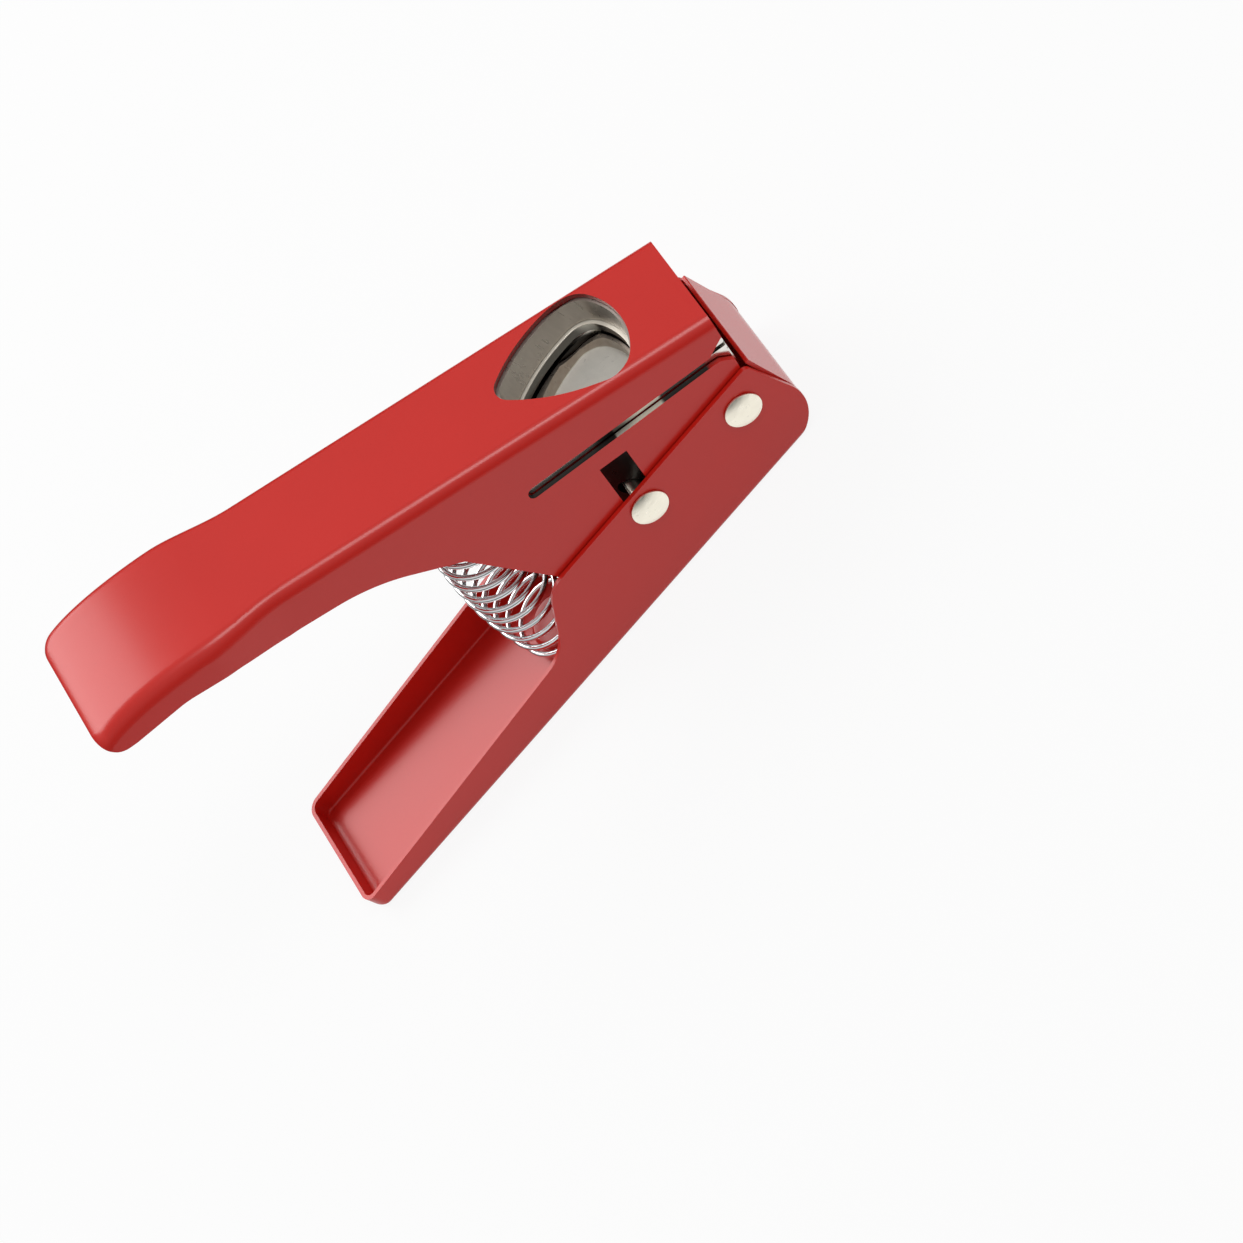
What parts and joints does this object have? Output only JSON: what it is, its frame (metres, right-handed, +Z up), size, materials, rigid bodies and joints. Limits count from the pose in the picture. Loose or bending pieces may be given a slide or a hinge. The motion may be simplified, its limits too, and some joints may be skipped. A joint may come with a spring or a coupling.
{
  "type": "guitar pick punch",
  "caption": "Hand-held punch of two folded sheet levers that cuts a plectrum from a flat card between a punch and a die.",
  "frame": {"origin": "on the ground under the middle of the whole, with the lower lever lying flat", "axes": "+X towards the head, where the card goes in; +Z up; -Y is the near side in the picture"},
  "size_m": [0.1566, 0.0368, 0.1004],
  "materials": {
    "red_paint": "satin red powder coat",
    "tool_steel": "ground tool steel",
    "plated_steel": "bright plated",
    "zinc_steel": "zinc plated",
    "nickel_rivet": "satin nickel",
    "spring_wire": "bright wire"
  },
  "bodies": {
    "lower_lever": {"lower_handle": "red_paint", "pivot_pin": "nickel_rivet", "drive_pin": "nickel_rivet", "lower_spring_seat": "red_paint", "return_spring": "spring_wire"},
    "upper_lever": {"upper_housing": "red_paint", "die_block": "tool_steel", "die_plate": "plated_steel", "guide_plate": "plated_steel", "card_stop": "zinc_steel", "front_die_screw_left": "zinc_steel", "front_die_screw_right": "zinc_steel", "rear_die_screw_left": "zinc_steel", "rear_die_screw_right": "zinc_steel", "pivot_sleeve": "zinc_steel", "upper_spring_seat": "red_paint"},
    "punch_slide": {"punch": "tool_steel"}
  },
  "joints": [
    {"name": "handle_hinge", "type": "hinge", "parent": "lower_lever", "child": "upper_lever", "pos_m": [0.06501, 0, 0.0201], "axis": [0, -1, 0], "range_deg": [0, 15], "stiffness_Nm_per_rad": 2.2, "springref_deg": -8.59, "deforming": ["return_spring"]},
    {"name": "punch_stroke", "type": "slide", "parent": "upper_lever", "child": "punch_slide", "axis": [0.3173, 0, 0.9483], "range_m": [0, 0.0076]}
  ],
  "couplings": [
    {"joint": "punch_stroke", "follows": "handle_hinge", "m_per_rad": 0.02894}
  ]
}
